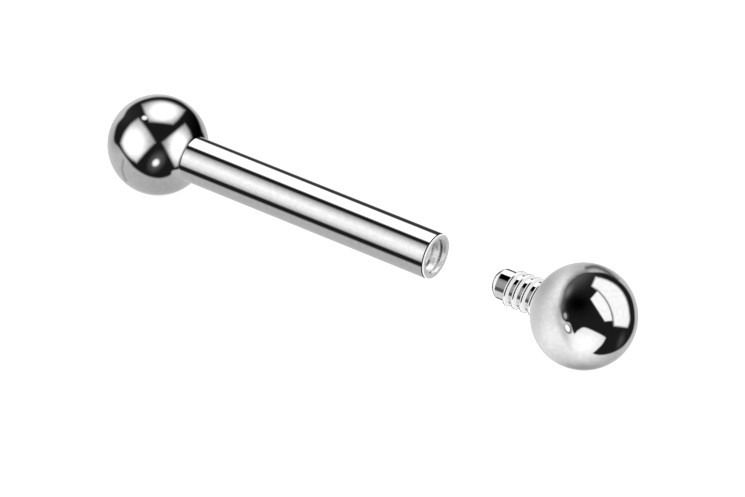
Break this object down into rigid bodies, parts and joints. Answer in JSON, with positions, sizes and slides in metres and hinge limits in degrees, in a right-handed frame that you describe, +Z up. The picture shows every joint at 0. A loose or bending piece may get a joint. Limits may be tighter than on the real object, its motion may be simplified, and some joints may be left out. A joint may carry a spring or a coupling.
{
  "type": "internally threaded straight barbell",
  "caption": "Straight body piercing barbell in polished steel, a round post with a ball at each end, shown with the screw ball and its threaded stud drawn off the post's socket.",
  "frame": {"origin": "middle of the whole length, on the plane that both balls stand on", "axes": "+X along the post, from the fixed ball to the screw ball; +Z up"},
  "size_m": [0.0208, 0.0034, 0.0035],
  "materials": {
    "polished_steel": "polished",
    "turned_steel": "gloss"
  },
  "bodies": {
    "fixed_end": {"post": "polished_steel", "fixed_ball": "polished_steel"},
    "screw_end": {"screw_ball": "polished_steel", "threaded_stud": "turned_steel"}
  },
  "joints": [
    {"name": "screw_ball_travel", "type": "slide", "parent": "fixed_end", "child": "screw_end", "axis": [1, 0, 0], "range_m": [-0.0041, 0.004]}
  ]
}
